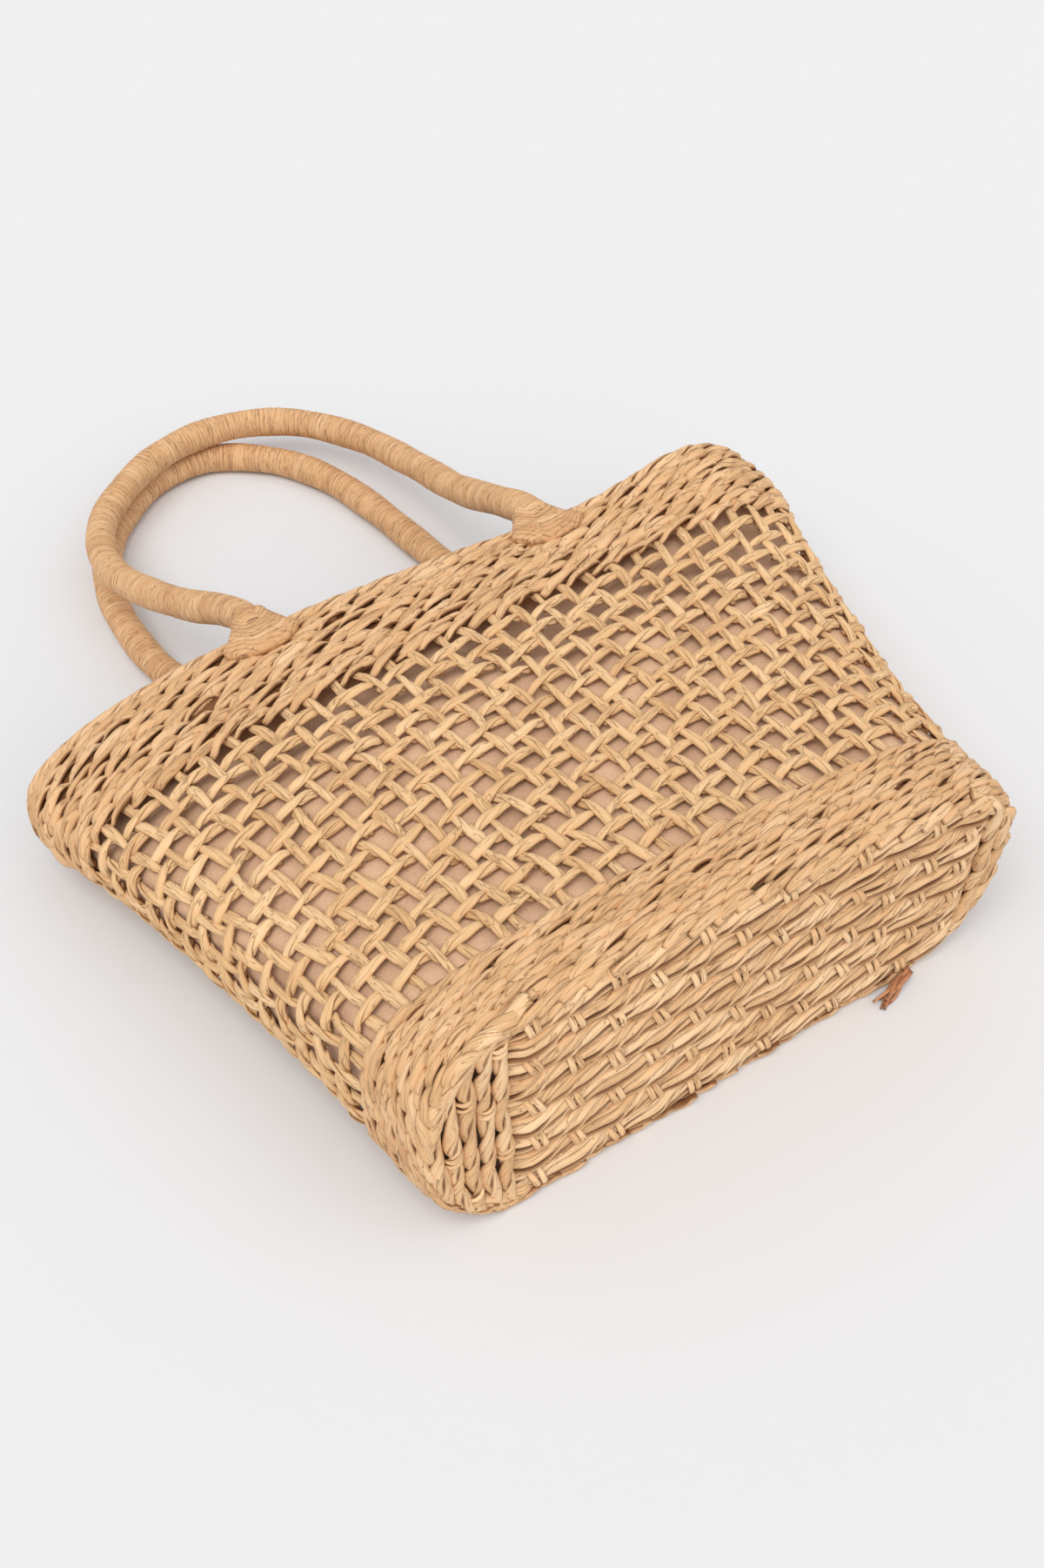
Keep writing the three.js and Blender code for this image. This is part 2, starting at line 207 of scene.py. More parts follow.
def unit(vectors):
    return vectors / np.maximum(np.linalg.norm(vectors, axis=-1, keepdims=True), 1e-12)


class BodySurface:
    """The body's outer surface as a grid over height shares and turns, which are equal steps round it."""

    LOWEST, HIGHEST, ROWS = -0.02, 1.08, 221
    COLUMNS, SAMPLES = 1024, 2880

    def __init__(self):
        angles = np.linspace(0, 2 * math.pi, self.SAMPLES + 1)
        turns = np.arange(self.COLUMNS) / self.COLUMNS
        rows = []
        self.girths = []
        for height in np.linspace(self.LOWEST, self.HIGHEST, self.ROWS):
            outline = body_point(np.full(len(angles), height), angles)
            steps = np.linalg.norm(np.diff(outline, axis=0), axis=1)
            lengths = np.concatenate([[0], np.cumsum(steps)])
            at = np.interp(turns * lengths[-1], lengths, angles)
            rows.append(body_point(np.full(len(at), height), at))
            self.girths.append(lengths[-1])
        self.points = np.array(rows)
        self.across = unit(np.roll(self.points, -1, 1) - np.roll(self.points, 1, 1))
        self.up = unit(np.gradient(self.points, axis=0))
        self.out = unit(np.cross(self.up, self.across))

    def girth(self, height):
        at = np.linspace(self.LOWEST, self.HIGHEST, self.ROWS)
        return np.interp(height, at, self.girths)

    def look(self, turn, height):
        """The point, and the outward, upward and sideways directions, at turns and height shares."""
        turn, height = np.broadcast_arrays(turn, height)
        column = (turn % 1.0) * self.COLUMNS
        row = np.clip((height - self.LOWEST) / (self.HIGHEST - self.LOWEST), 0, 1) * (self.ROWS - 1)
        left = np.floor(column).astype(int)
        low = np.minimum(np.floor(row).astype(int), self.ROWS - 2)
        right_share = (column - left)[..., None]
        high_share = (row - low)[..., None]
        left = left % self.COLUMNS
        right = (left + 1) % self.COLUMNS

        def between(table):
            lower = table[low, left] * (1 - right_share) + table[low, right] * right_share
            upper = table[low + 1, left] * (1 - right_share) + table[low + 1, right] * right_share
            return lower * (1 - high_share) + upper * high_share

        out = unit(between(self.out))
        return between(self.points), out, unit(between(self.up)), unit(between(self.across))


body = BodySurface()
rng = np.random.default_rng(SEED)


# Strands: closed or open bands of rings, gathered into one mesh

# A flat straw's section: sideways and outward shares
FLAT_SECTION = np.array([
    (1.0, 0.0), (0.78, 0.78), (0.0, 0.84), (-0.78, 0.78),
    (-1.0, 0.0), (-0.78, -0.78), (0.0, -0.84), (0.78, -0.78),
])
# A rounder ply's section
ROUND_SECTION = np.array([
    (1.0, 0.0), (0.72, 0.70), (0.0, 1.0), (-0.72, 0.70),
    (-1.0, 0.0), (-0.72, -0.70), (0.0, -1.0), (0.72, -0.70),
])
CAP_QUADS = np.array([(0, 1, 2, 3), (0, 3, 4, 7), (4, 5, 6, 7)])

# The ridge value at a straw's side, its rise to the crown, and its share at a straw's ends; a low ridge
# value gets painted shade, so a straw's edges, inner face and ends are painted darker
SHADE_RIDGE_SIDE, SHADE_RIDGE_RISE, SHADE_RIDGE_END = 0.30, 0.95, 0.3


class Strands:
    """Gathers strands as arrays, then makes one mesh of them."""

    def __init__(self):
        self.points, self.quads, self.places, self.tones, self.shade_ridges = [], [], [], [], []
        self.count = 0

    def add(self, centre, outward, half_width, half_depth, closed=False, section=FLAT_SECTION, tone=None):
        """Adds a batch of strands: centre and outward are (strands, steps, 3), the rest broadcasts."""
        batch, steps = centre.shape[:2]
        sides = len(section)
        if closed:
            along = np.roll(centre, -1, 1) - np.roll(centre, 1, 1)
        else:
            along = np.gradient(centre, axis=1)
        along = unit(along)
        outward = unit(outward - np.sum(outward * along, -1, keepdims=True) * along)
        sideways = np.cross(along, outward)
        half_width = np.broadcast_to(half_width, (batch, steps))[..., None, None]
        half_depth = np.broadcast_to(half_depth, (batch, steps))[..., None, None]
        rings = (
            centre[:, :, None]
            + sideways[:, :, None] * (section[:, 0][:, None] * half_width)
            + outward[:, :, None] * (section[:, 1][:, None] * half_depth)
        )
        gaps = np.linalg.norm(np.diff(centre, axis=1), axis=-1)
        lengths = np.concatenate([np.zeros((batch, 1)), np.cumsum(gaps, 1)], 1)
        offsets = rng.uniform(0, 10, (batch, 2))
        tone = rng.uniform(0, 1, batch) if tone is None else np.broadcast_to(tone, batch)

        strand, step, side = np.meshgrid(
            np.arange(batch), np.arange(steps if closed else steps - 1), np.arange(sides), indexing="ij"
        )
        next_step = (step + 1) % steps
        next_side = (side + 1) % sides
        start = self.count + strand * steps * sides
        quads = np.stack([
            start + step * sides + side,
            start + step * sides + next_side,
            start + next_step * sides + next_side,
            start + next_step * sides + side,
        ], -1).reshape(-1, 4)[:, ::-1]
        reach = lengths[strand, step]
        step_length = np.where(step + 1 < steps, lengths[strand, next_step] - reach, gaps.mean())
        girth = 4 * half_width.mean()
        left = side / sides * girth + offsets[strand, 0]
        right = left + girth / sides
        here = reach + offsets[strand, 1]
        there = here + step_length
        corners = [(left, here), (right, here), (right, there), (left, there)]
        places = np.stack([np.stack(corner, -1) for corner in corners], -2).reshape(-1, 4, 2)[:, ::-1]
        self.quads.append(quads)
        self.places.append(places)
        if not closed:
            for strand_index in range(batch):
                first = self.count + strand_index * steps * sides
                last = first + (steps - 1) * sides
                ends = np.concatenate([first + CAP_QUADS, last + CAP_QUADS[:, ::-1]])
                self.quads.append(ends)
                self.places.append(np.full((len(ends), 4, 2), offsets[strand_index, 0]))
        # The ridge value for the painted shade: low at the edges and the inner face, and lower at the ends
        ridge = np.tile(np.clip(SHADE_RIDGE_SIDE + SHADE_RIDGE_RISE * section[:, 1], 0, 1), (batch, steps, 1))
        if not closed:
            ridge[:, [0, -1]] *= SHADE_RIDGE_END
        self.points.append(rings.reshape(-1, 3))
        self.tones.append(np.repeat(tone, steps * sides))
        self.shade_ridges.append(ridge.ravel())
        self.count += batch * steps * sides

    def build(self, name, material, slot, replaced):
        columns = (self.points, self.quads, self.places, self.tones, self.shade_ridges)
        make_piece(name, *(np.concatenate(column) for column in columns), material, slot, replaced)


def make_piece(name, points, quads, places, tones, shade_ridges, material, slot, replaced):
    """One mesh object from arrays, with a place on the straw in metres, a tone for each strand
    and a ridge value, which is 1 on a straw's crown and falls towards its edges and its inner face,
    where the straw's colour is darkened as painted shade."""
    points[:, 2] = np.maximum(points[:, 2], FLOOR_GAP)
    mesh = bpy.data.meshes.new(name)
    mesh.vertices.add(len(points))
    mesh.vertices.foreach_set("co", points.astype(np.float32).ravel())
    mesh.loops.add(quads.size)
    mesh.loops.foreach_set("vertex_index", quads.astype(np.int32).ravel())
    mesh.polygons.add(len(quads))
    mesh.polygons.foreach_set("loop_start", np.arange(0, quads.size, 4, dtype=np.int32))
    mesh.polygons.foreach_set("use_smooth", np.ones(len(quads), bool))
    mesh.update(calc_edges=True)
    layer = mesh.uv_layers.new(name="Straw")
    layer.data.foreach_set("uv", places.astype(np.float32).ravel())
    for label, values in (("tone", tones), ("ridge", shade_ridges)):
        attribute = mesh.attributes.new(label, "FLOAT", "POINT")
        attribute.data.foreach_set("value", values.astype(np.float32))
    mesh.validate()
    mesh.materials.append(material)
    piece = bpy.data.objects.new(name, mesh)
    bpy.context.scene.collection.objects.link(piece)
    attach(piece, "root")
    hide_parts(*replaced)


# Soft chance: a value for each strand, or slow waves along or round it

def chance(size, strands):
    return rng.normal(0, size, (strands, 1))


def slow_waves(x, wavelengths, strands):
    """A smooth random course for each strand over x, of about unit size."""
    total = 0
    for wavelength in wavelengths:
        phase = rng.uniform(0, 2 * math.pi, (strands, 1))
        stretch = rng.uniform(0.8, 1.25, (strands, 1))
        total = total + np.sin(2 * math.pi * x * stretch / wavelength + phase)
    return total / math.sqrt(len(wavelengths))


def ring_waves(turn, cycles, strands):
    """As slow_waves, over turns, closing on itself."""
    total = 0
    for cycle in cycles:
        phase = rng.uniform(0, 2 * math.pi, (strands, 1))
        size = rng.uniform(0.6, 1.4, (strands, 1))
        total = total + size * np.sin(2 * math.pi * (turn * cycle) + phase)
    return total / math.sqrt(len(cycles))


def tilted_height(height, turn):
    """The rows sit nearer the rim on the right side and nearer the base on the left one."""
    low_share = smoothstep(height / NET_FROM)
    high_share = 1 - smoothstep((height - NET_TO) / (1 - NET_TO))
    tilt = ROW_TILT_LOW + (ROW_TILT_HIGH - ROW_TILT_LOW) * rise(height, NET_FROM, NET_TO)
    return height + tilt / BODY_HEIGHT * np.minimum(low_share, high_share) * np.sin(2 * math.pi * turn)


def net_heights():
    """The net rows' heights: the rows lie a little closer towards the rim."""
    share = np.arange(1, NET_ROWS + 1) / (NET_ROWS + 1)
    share = share + NET_PITCH_CHANGE * 0.5 * share * (1 - share)
    return NET_FROM + (NET_TO - NET_FROM) * share


def lower_heights():
    span = LOWER_BAND - LOWER_START
    return (LOWER_START + (np.arange(LOWER_ROWS) + 0.5) * span / LOWER_ROWS) / BODY_HEIGHT


def rim_heights():
    span = RIM_BAND - EDGE_ROOM
    return NET_TO + (np.arange(RIM_ROWS) + 0.5) * span / RIM_ROWS / BODY_HEIGHT


ROW_HEIGHTS = np.concatenate([lower_heights(), net_heights(), rim_heights()])
FIRST_NET_ROW = LOWER_ROWS
FIRST_RIM_ROW = LOWER_ROWS + NET_ROWS


# Materials. The scales are cycles a metre across and along a straw

FIBRE_SCALE = (2400, 150)
CREASE_SCALE = (520, 42)
CREASE_WIDTH = 0.022
# How dark the painted shade in a crease is, as a share of the dark colour
CREASE_PAINTED_SHADE = 0.80
STRAW_BUMP = 0.55

# Painted shade: a straw's colour darkens from its crown to its edges and its inner face, where shade falls:
# the ridge values and the shade tint there, and a lighter shade tint for the net
FULL_SHADE_RIDGE, NO_SHADE_RIDGE = 0.08, 0.60
EDGE_SHADE_TINT = (0.34, 0.23, 0.155, 1.0)
NET_EDGE_SHADE_TINT = (0.52, 0.39, 0.29, 1.0)
WHITE = (1.0, 1.0, 1.0, 1.0)


def linear(colour):
    """An sRGB colour as the linear one that the shader takes."""
    channels = [c / 12.92 if c <= 0.04045 else ((c + 0.055) / 1.055) ** 2.4 for c in colour]
    return (*channels, 1.0)


class Shader:
    """A material's nodes. Each is added with its settings and inputs; an input is a value or an output."""

    def __init__(self, name):
        self.material = bpy.data.materials.new(name)
        self.material.use_nodes = True
        self.tree = self.material.node_tree
        self.surface = self.tree.nodes["Principled BSDF"]

    def give(self, node, inputs):
        for key, value in inputs.items():
            if isinstance(value, bpy.types.NodeSocket):
                self.tree.links.new(value, node.inputs[key])
            else:
                node.inputs[key].default_value = value

    def add(self, kind, inputs, output, **settings):
        node = self.tree.nodes.new("ShaderNode" + kind)
        for key, value in settings.items():
            setattr(node, key, value)
        self.give(node, inputs)
        return node.outputs[output]

    def read(self, label):
        """A value that each point of the mesh holds."""
        return self.add("Attribute", {}, "Fac", attribute_name=label)

    def noise(self, place, scale, detail, roughness=0.6, distortion=0.0):
        inputs = {
            "Vector": place, "Scale": scale, "Detail": detail, "Roughness": roughness,
            "Distortion": distortion,
        }
        return self.add("TexNoise", inputs, "Fac")

    def weighted(self, value, weight, other):
        """A value times a weight, plus another value."""
        return self.add("Math", {0: value, 1: weight, 2: other}, "Value", operation="MULTIPLY_ADD")

    def ranged(self, value, start=0.0, end=1.0, low=0.0, high=1.0):
        """A value stretched from the range start to end onto the range low to high."""
        inputs = {"Value": value, "From Min": start, "From Max": end, "To Min": low, "To Max": high}
        return self.add("MapRange", inputs, "Result")

    def mix(self, share, first, second, blend="MIX"):
        return self.add("Mix", {0: share, 6: first, 7: second}, 2, data_type="RGBA", blend_type=blend)

    def ramp(self, value, first, last, middle=None):
        """A colour ramp over a value: each stop is a place on it and an sRGB colour."""
        colour = self.add("ValToRGB", {"Fac": value}, "Color")
        stops = colour.node.color_ramp.elements
        for stop, (place, tint) in zip(stops, (first, last)):
            stop.position = place
            stop.color = linear(tint)
        if middle:
            stops.new(middle[0]).color = linear(middle[1])
        return colour

    def bumps(self, height, strength, distance):
        inputs = {"Height": height, "Strength": strength, "Distance": distance}
        return self.add("Bump", inputs, "Normal")


def straw_material(name, dark, middle, light, edge_shade_tint=EDGE_SHADE_TINT):
    """Twisted paper straw: fine lengthwise fibres, thin creases in painted shade and a tone for each strand,
    with painted shade towards each straw's edges and inner face.
    """
    straw = Shader(name)
    place = straw.add("UVMap", {}, "UV", uv_map="Straw")

    def along_straw(scale, detail, distortion):
        scaled = straw.add("Mapping", {"Vector": place, "Scale": (*scale, 1)}, "Vector")
        return straw.noise(scaled, 1.0, detail, distortion=distortion)

    fibres = along_straw(FIBRE_SCALE, 4.0, 0.0)
    creases = along_straw(CREASE_SCALE, 1.5, 0.5)
    patches = straw.noise(straw.add("TexCoord", {}, "Object"), 55.0, 2.0, 0.5)

    patterns = [(fibres, 0.9), (patches, 0.55), (straw.read("tone"), 0.42)]
    shade = 0.5 - sum(weight for _, weight in patterns) / 2
    for pattern, weight in patterns:
        shade = straw.weighted(pattern, weight, shade)
    colour = straw.ramp(shade, (0.12, dark), (0.88, light), (0.48, middle))

    # The creases: thin lines of painted shade in the straw's colour, which also press into the bump
    from_middle = straw.add("Math", {0: creases, 1: 0.5}, "Value", operation="SUBTRACT")
    distance = straw.add("Math", {0: from_middle}, "Value", operation="ABSOLUTE")
    smooth = straw.ranged(distance, end=CREASE_WIDTH)
    crease_shaded = straw.mix(smooth, linear([c * CREASE_PAINTED_SHADE for c in dark]), colour)
    # The painted shade towards the straw's edges and inner face, from the ridge value
    tint = straw.mix(straw.ranged(straw.read("ridge"), FULL_SHADE_RIDGE, NO_SHADE_RIDGE), edge_shade_tint, WHITE)
    straw.give(straw.surface, {
        "Base Color": straw.mix(1.0, crease_shaded, tint, "MULTIPLY"),
        "Roughness": straw.ranged(fibres, low=0.50, high=0.80),
        "Normal": straw.bumps(straw.weighted(smooth, 0.8, fibres), STRAW_BUMP, 0.0004),
        "Specular IOR Level": 0.4,
    })
    return straw.material


def cloth_material(name, shade, light):
    """Plain woven cotton with a fine thread grain."""
    cloth = Shader(name)
    place = cloth.add("TexCoord", {}, "Object")
    soft = cloth.noise(place, 22.0, 4.0)
    grain = cloth.noise(place, 900.0, 2.0, 0.5)
    cloth.give(cloth.surface, {
        "Base Color": cloth.ramp(cloth.weighted(grain, 0.5, soft), (0.50, shade), (0.95, light)),
        "Normal": cloth.bumps(grain, 0.35, 0.0003),
        "Roughness": 0.88,
        "Sheen Weight": 0.15,
        "Specular IOR Level": 0.2,
    })
    return cloth.material


NET_STRAW = straw_material(
    "net straw", (0.81, 0.63, 0.44), (0.89, 0.72, 0.52), (0.94, 0.80, 0.62), edge_shade_tint=NET_EDGE_SHADE_TINT,
)
BAND_STRAW = straw_material("band straw", (0.77, 0.59, 0.40), (0.87, 0.69, 0.50), (0.93, 0.78, 0.61))
BASE_STRAW = straw_material("base straw", (0.81, 0.63, 0.44), (0.91, 0.74, 0.55), (0.96, 0.83, 0.66))
WINDING_STRAW = straw_material("winding straw", (0.78, 0.58, 0.40), (0.86, 0.67, 0.48), (0.92, 0.76, 0.58))
STRAY_STRAW = straw_material("stray straw", (0.56, 0.35, 0.22), (0.74, 0.50, 0.34), (0.86, 0.64, 0.47))
LINING_CLOTH = cloth_material("lining cloth", (0.78, 0.62, 0.49), (0.91, 0.75, 0.61))


# The weave: rows that pass over and under the uprights

BACKING_INSET = 0.0040
BACKING_DEPTH = 0.0003
BACKING_OVERLAP = 1.35
# The backing's dark tone: painted shade in the slits between a band's rows
BACKING_SHADE_TONE = 0.2


def band_shade_backing(strands, start, end, count):
    """Flat straws side by side in the middle of a close band's wall, in a dark tone and with their shaded
    inner face turned out, so that they show as painted shade between its rows.
    """
    steps = 180
    turn = (np.arange(steps) / steps)[None, :]
    half = (end - start) / count / 2
    height = start + half * (2 * np.arange(count)[:, None] + 1)
    point, out, _, _ = body.look(turn, tilted_height(height, turn))
    strands.add(
        point - out * BACKING_INSET, -out, half * BODY_HEIGHT * BACKING_OVERLAP, BACKING_DEPTH,
        closed=True, tone=BACKING_SHADE_TONE,
    )


def crossings(rows, every, first):
    """The row and upright numbers at which floats pass over, each as a column."""
    number, upright = np.meshgrid(np.asarray(rows), np.arange(WARPS), indexing="ij")
    kept = (number + upright) % every == first
    return number[kept][:, None], upright[kept][:, None]


UPRIGHT_REACH = 1.04
UPRIGHT_WAVE = 0.0012
UPRIGHT_SLOPE = 0.18
UPRIGHT_LAY = 0.070
# A lighter tone on the uprights: painted sheen
UPRIGHT_PAINTED_SHEEN = 0.05
BAND_SINK = 0.0012
FLOAT_TAPER = 0.30
TONE_CHANCE = 0.22


def float_course(share, flat=0.45):
    """1 over the crossing at the middle of a float and -1 under the ones at its ends."""
    return 1 - 2 * smoothstep((np.abs(share) - flat) / (1.0 - flat))


def place_floats(strands, centre, outward, sideways, width, depth, spread, lay, painted_sheen_shift=0.0, plies=2):
    """Adds each float as plies that turn slowly round each other."""
    count, steps = centre.shape[:2]
    share = np.linspace(-1, 1, steps)[None, :]
    length = np.linalg.norm(np.diff(centre, axis=1), axis=-1).sum(1, keepdims=True)
    start = rng.uniform(0, 2 * math.pi, (count, 1))
    angle = start + math.pi * share * length / lay
    taper = 1 - FLOAT_TAPER * np.abs(share) ** 2.5
    # Each float's own tone, raised by the painted sheen shift
    tone = np.clip(rng.normal(0.5, TONE_CHANCE, count) + painted_sheen_shift, 0, 1)
    for ply in range(plies):
        at = angle + 2 * math.pi * ply / plies
        around = sideways * np.cos(at)[..., None] * spread[0] + outward * np.sin(at)[..., None] * spread[1]
        strands.add(
            centre + around, outward * 1.6 + unit(around), width * taper, depth * taper,
            section=ROUND_SECTION, tone=tone,
        )


def row_floats(
    strands, rows, steps, width, depth, spread, lay, wave, slope, loose, every=2, reach=1.02, plies=2,
):
    """The rows as floats: each passes over one upright, slants a little, and ends under the next ones.
    every is how many uprights lie from one float to the next, reach is half a float's length in uprights,
    and loose is how much chance there is in each float. The lowest row of all faces down and outward."""
    number, upright = crossings(rows, every, 0)
    count = len(number)
    share = np.linspace(-1, 1, steps)[None, :]
    stagger = 0.5 * (every == 1) * (number % 2)
    turn = (upright + 0.5 + share * reach + stagger + loose * chance(0.035, count)) / WARPS
    point, out, up, _ = body.look(turn, tilted_height(ROW_HEIGHTS[number], turn))
    half = body.girth(ROW_HEIGHTS[number]) / WARPS
    lean = slope * (1 + loose * chance(0.22, count))
    bend = loose * chance(0.0006, count) * (1 - share**2)
    shift = loose * chance(0.0004, count)
    aside = -lean * half * reach * share + bend + shift
    lift = wave * float_course(share) * (1 + loose * chance(0.15, count))
    centre = point + out * (lift - WALL_MIDDLE)[..., None] + up * aside[..., None]
    size = 1 + loose * chance(0.09, count)
    facing = out - up * (number == 0)[..., None]
    place_floats(strands, centre, facing, up, width * size, depth, spread, lay, plies=plies)


def net_rows():
    strands = Strands()
    row_floats(
        strands, range(FIRST_NET_ROW, FIRST_RIM_ROW), steps=11, width=0.0024, depth=0.0011,
        spread=(0.0013, 0.0005), lay=0.050, wave=0.0013, slope=0.21, loose=1.2,
    )
    strands.build("net_rows", NET_STRAW, "straw_net", ["net_wall"])


def lower_rows():
    strands = Strands()
    row_floats(
        strands, range(FIRST_NET_ROW), steps=11, width=0.0026, depth=0.0017,
        spread=(0.0003, 0.0002), lay=0.060, wave=0.0014, slope=0.22, loose=0.9, every=1, reach=0.95, plies=1,
    )
    band_shade_backing(strands, 0.010 / BODY_HEIGHT, NET_FROM, 5)
    strands.build("lower_weave", BAND_STRAW, "straw_band", ["lower_band"])


def rim_rows():
    strands = Strands()
    row_floats(
        strands, range(FIRST_RIM_ROW, len(ROW_HEIGHTS)), steps=11, width=0.0029, depth=0.0017,
        spread=(0.0003, 0.0002), lay=0.060, wave=0.0018, slope=0.32, loose=1.6, every=1, reach=0.90, plies=1,
    )
    band_shade_backing(strands, NET_TO + 0.003 / BODY_HEIGHT, 1 - 0.003 / BODY_HEIGHT, 6)
    strands.build("rim_weave", BAND_STRAW, "straw_band", ["rim_band"])


def uprights():
    """The uprights of the net as floats: each passes over one row and ends under the next ones."""
    strands = Strands()
    number, upright = crossings(range(FIRST_NET_ROW - 1, FIRST_RIM_ROW + 1), 2, 1)
    count = len(number)
    share = np.linspace(-1, 1, 9)[None, :]
    below = ROW_HEIGHTS[number] - ROW_HEIGHTS[number - 1]
    above = ROW_HEIGHTS[number + 1] - ROW_HEIGHTS[number]
    height = ROW_HEIGHTS[number] + np.where(share < 0, below, above) * share * UPRIGHT_REACH
    turn = (upright + 0.5) / WARPS
    point, out, _, across = body.look(turn, tilted_height(height, turn))
    half = 0.5 * (below + above) * BODY_HEIGHT
    lean = UPRIGHT_SLOPE * (1 + chance(0.45, count))
    bend = chance(0.0007, count) * (1 - share**2)
    aside = lean * half * share + bend + chance(0.0005, count)
    in_band = (number < FIRST_NET_ROW) | (number >= FIRST_RIM_ROW)
    lift = UPRIGHT_WAVE * float_course(share, 0.35) * (1 + chance(0.15, count))
    lift = np.where(in_band, -BAND_SINK, lift)
    centre = point + out * (lift - WALL_MIDDLE)[..., None] + across * aside[..., None]
    size = 1 + chance(0.08, count)
    place_floats(
        strands, centre, out, across, width=0.0022 * size, depth=0.0010, spread=(0.0013, 0.0004),
        lay=UPRIGHT_LAY, painted_sheen_shift=UPRIGHT_PAINTED_SHEEN,
    )
    strands.build("uprights", NET_STRAW, "straw_net", ["net_wall"])


EDGE_PLIES = 3
EDGE_DROP = 0.0030
EDGE_LAY = 0.046
EDGE_SPREAD = (0.0023, 0.0018)


def rim_edge_rope():
    """A rope along the rim's edge."""
    strands = Strands()
    steps = 720
    turn = (np.arange(steps) / steps)[None, :]
    point, out, up, _ = body.look(turn, np.full_like(turn, 1 - EDGE_DROP / BODY_HEIGHT))
    turns_round = round(body.girth(1.0) / EDGE_LAY)
    angle = 2 * math.pi * turns_round * turn + 0.5 * ring_waves(turn, (9, 17, 29), 1)
    size = 1 + 0.08 * ring_waves(turn, (23, 41, 67), 1)
    for ply in range(EDGE_PLIES):
        at = angle + 2 * math.pi * ply / EDGE_PLIES
        around = up * np.cos(at)[..., None] * EDGE_SPREAD[0] + out * np.sin(at)[..., None] * EDGE_SPREAD[1]
        strands.add(
            point - out * WALL_MIDDLE + around, around, 0.0026 * size, 0.0016, closed=True,
            section=ROUND_SECTION,
        )
    strands.build("rim_edge", BAND_STRAW, "straw_band", ["rim_band"])


# The base: thick ropes lengthwise with short paired straws over them, and columns across its ends

ROPE_COUNT = 9
ROPE_PLIES = 5
ROPE_LAY = 0.080
ROPE_SPREAD = (0.0050, 0.0020)
ROPE_ROOM = 0.0035
PANEL_LEFT, PANEL_RIGHT = -0.113, 0.136
PANEL_OVERLAP = 0.003
STAKE_PITCH = 0.0208
COLUMN_PITCH = 0.0080
COLUMN_ROOM = 0.0045
COLUMN_END_ROOM = 0.0040
COLUMN_PLIES = 2
COLUMN_LAY = 0.040
COLUMN_SPREAD = (0.0021, 0.0010)
LEFT_COLUMNS, RIGHT_COLUMNS = 5, 2
BASE_MIDDLE = 0.0048
STITCH_APART = 0.0019
STITCH_WIDTH, STITCH_DEPTH = 0.0016, 0.0009
OUTSIDE = (0.0, -1.0, 0.0)


def base_outline_level(x):
    """The lowest and highest z of the base's outline at each x."""
    angles = np.linspace(0, math.pi / 2, 400)
    lower = body_point(np.zeros_like(angles), angles)
    upper = body_point(np.zeros_like(angles), math.pi - angles)
    low = np.interp(np.abs(x), lower[:, 0] - BODY_ORIGIN[0], lower[:, 2])
    high = np.interp(np.abs(x), upper[:, 0] - BODY_ORIGIN[0], upper[:, 2])
    return low, high


def base_place(x, z, depth):
    """A point of the base at x across and z up, depth inside its outer face."""
    twist = BASE_TWIST * (x / (BASE_WIDTH / 2)) * (1 - z / BASE_DEPTH)
    return np.stack([x, depth + twist, z], -1) + BODY_ORIGIN


def rope_height(x, number):
    """The height of a rope's middle at each x: the ropes share the room inside the outline."""
    low, high = base_outline_level(x)
    return low + ROPE_ROOM + (number + 0.5) / ROPE_COUNT * (high - low - 2 * ROPE_ROOM)


def base_ropes(strands):
    steps = 120
    x = np.linspace(PANEL_LEFT - PANEL_OVERLAP, PANEL_RIGHT + PANEL_OVERLAP, steps)[None, :]
    number = np.arange(ROPE_COUNT)[:, None]
    z = rope_height(x, number) + 0.0006 * slow_waves(x, (0.09, 0.05), ROPE_COUNT)
    over = np.cos(math.pi * (x / STAKE_PITCH + number))
    ends = 1 - smoothstep(np.minimum(x - x.min(), x.max() - x) / 0.010)
    depth = BASE_MIDDLE - 0.0007 * over + 0.004 * ends
    squeeze = 1 + 0.07 * over
    start = rng.uniform(0, 2 * math.pi, (ROPE_COUNT, 1))
    angle = start - 2 * math.pi * x / ROPE_LAY + 0.5 * slow_waves(x, (0.07, 0.04), ROPE_COUNT)
    middle = base_place(np.broadcast_to(x, z.shape), z, depth)
    for ply in range(ROPE_PLIES):
        at = angle + 2 * math.pi * ply / ROPE_PLIES
        around = np.stack([
            np.zeros_like(at), -np.sin(at) * ROPE_SPREAD[1], np.cos(at) * ROPE_SPREAD[0] * squeeze,
        ], -1)
        strands.add(middle + around, around, 0.0028 * squeeze, 0.0016, section=ROUND_SECTION)


def column_reach(number):
    """How far a column's middle lies from the base's middle."""
    return BASE_WIDTH / 2 - COLUMN_ROOM - COLUMN_PITCH * number


def column_path(side, number, panel_end, steps):
    """The way of one column: the outer ones follow the base's outline, the inner ones are straighter."""
    angle = np.linspace(0, math.pi, 600)
    power = 2 / (3.4 + 1.6 * number)
    across = np.sin(angle) ** power
    rising = -np.cos(angle)
    up = np.sign(rising) * np.abs(rising) ** power
    level = np.where(up < 0, np.maximum(0.5 + 0.5 * up * BOTTOM_PRESS, 0), 0.5 + 0.5 * up)
    x = across * column_reach(number)
    z = COLUMN_END_ROOM + level * (BASE_DEPTH - 2 * COLUMN_END_ROOM)
    kept = x > abs(panel_end) - 0.012
    route = np.stack([side * x[kept], z[kept]], -1)
    lengths = np.concatenate([[0], np.cumsum(np.linalg.norm(np.diff(route, axis=0), axis=1))])
    at = np.linspace(0, lengths[-1], steps)
    return np.interp(at, lengths, route[:, 0]), np.interp(at, lengths, route[:, 1]), at


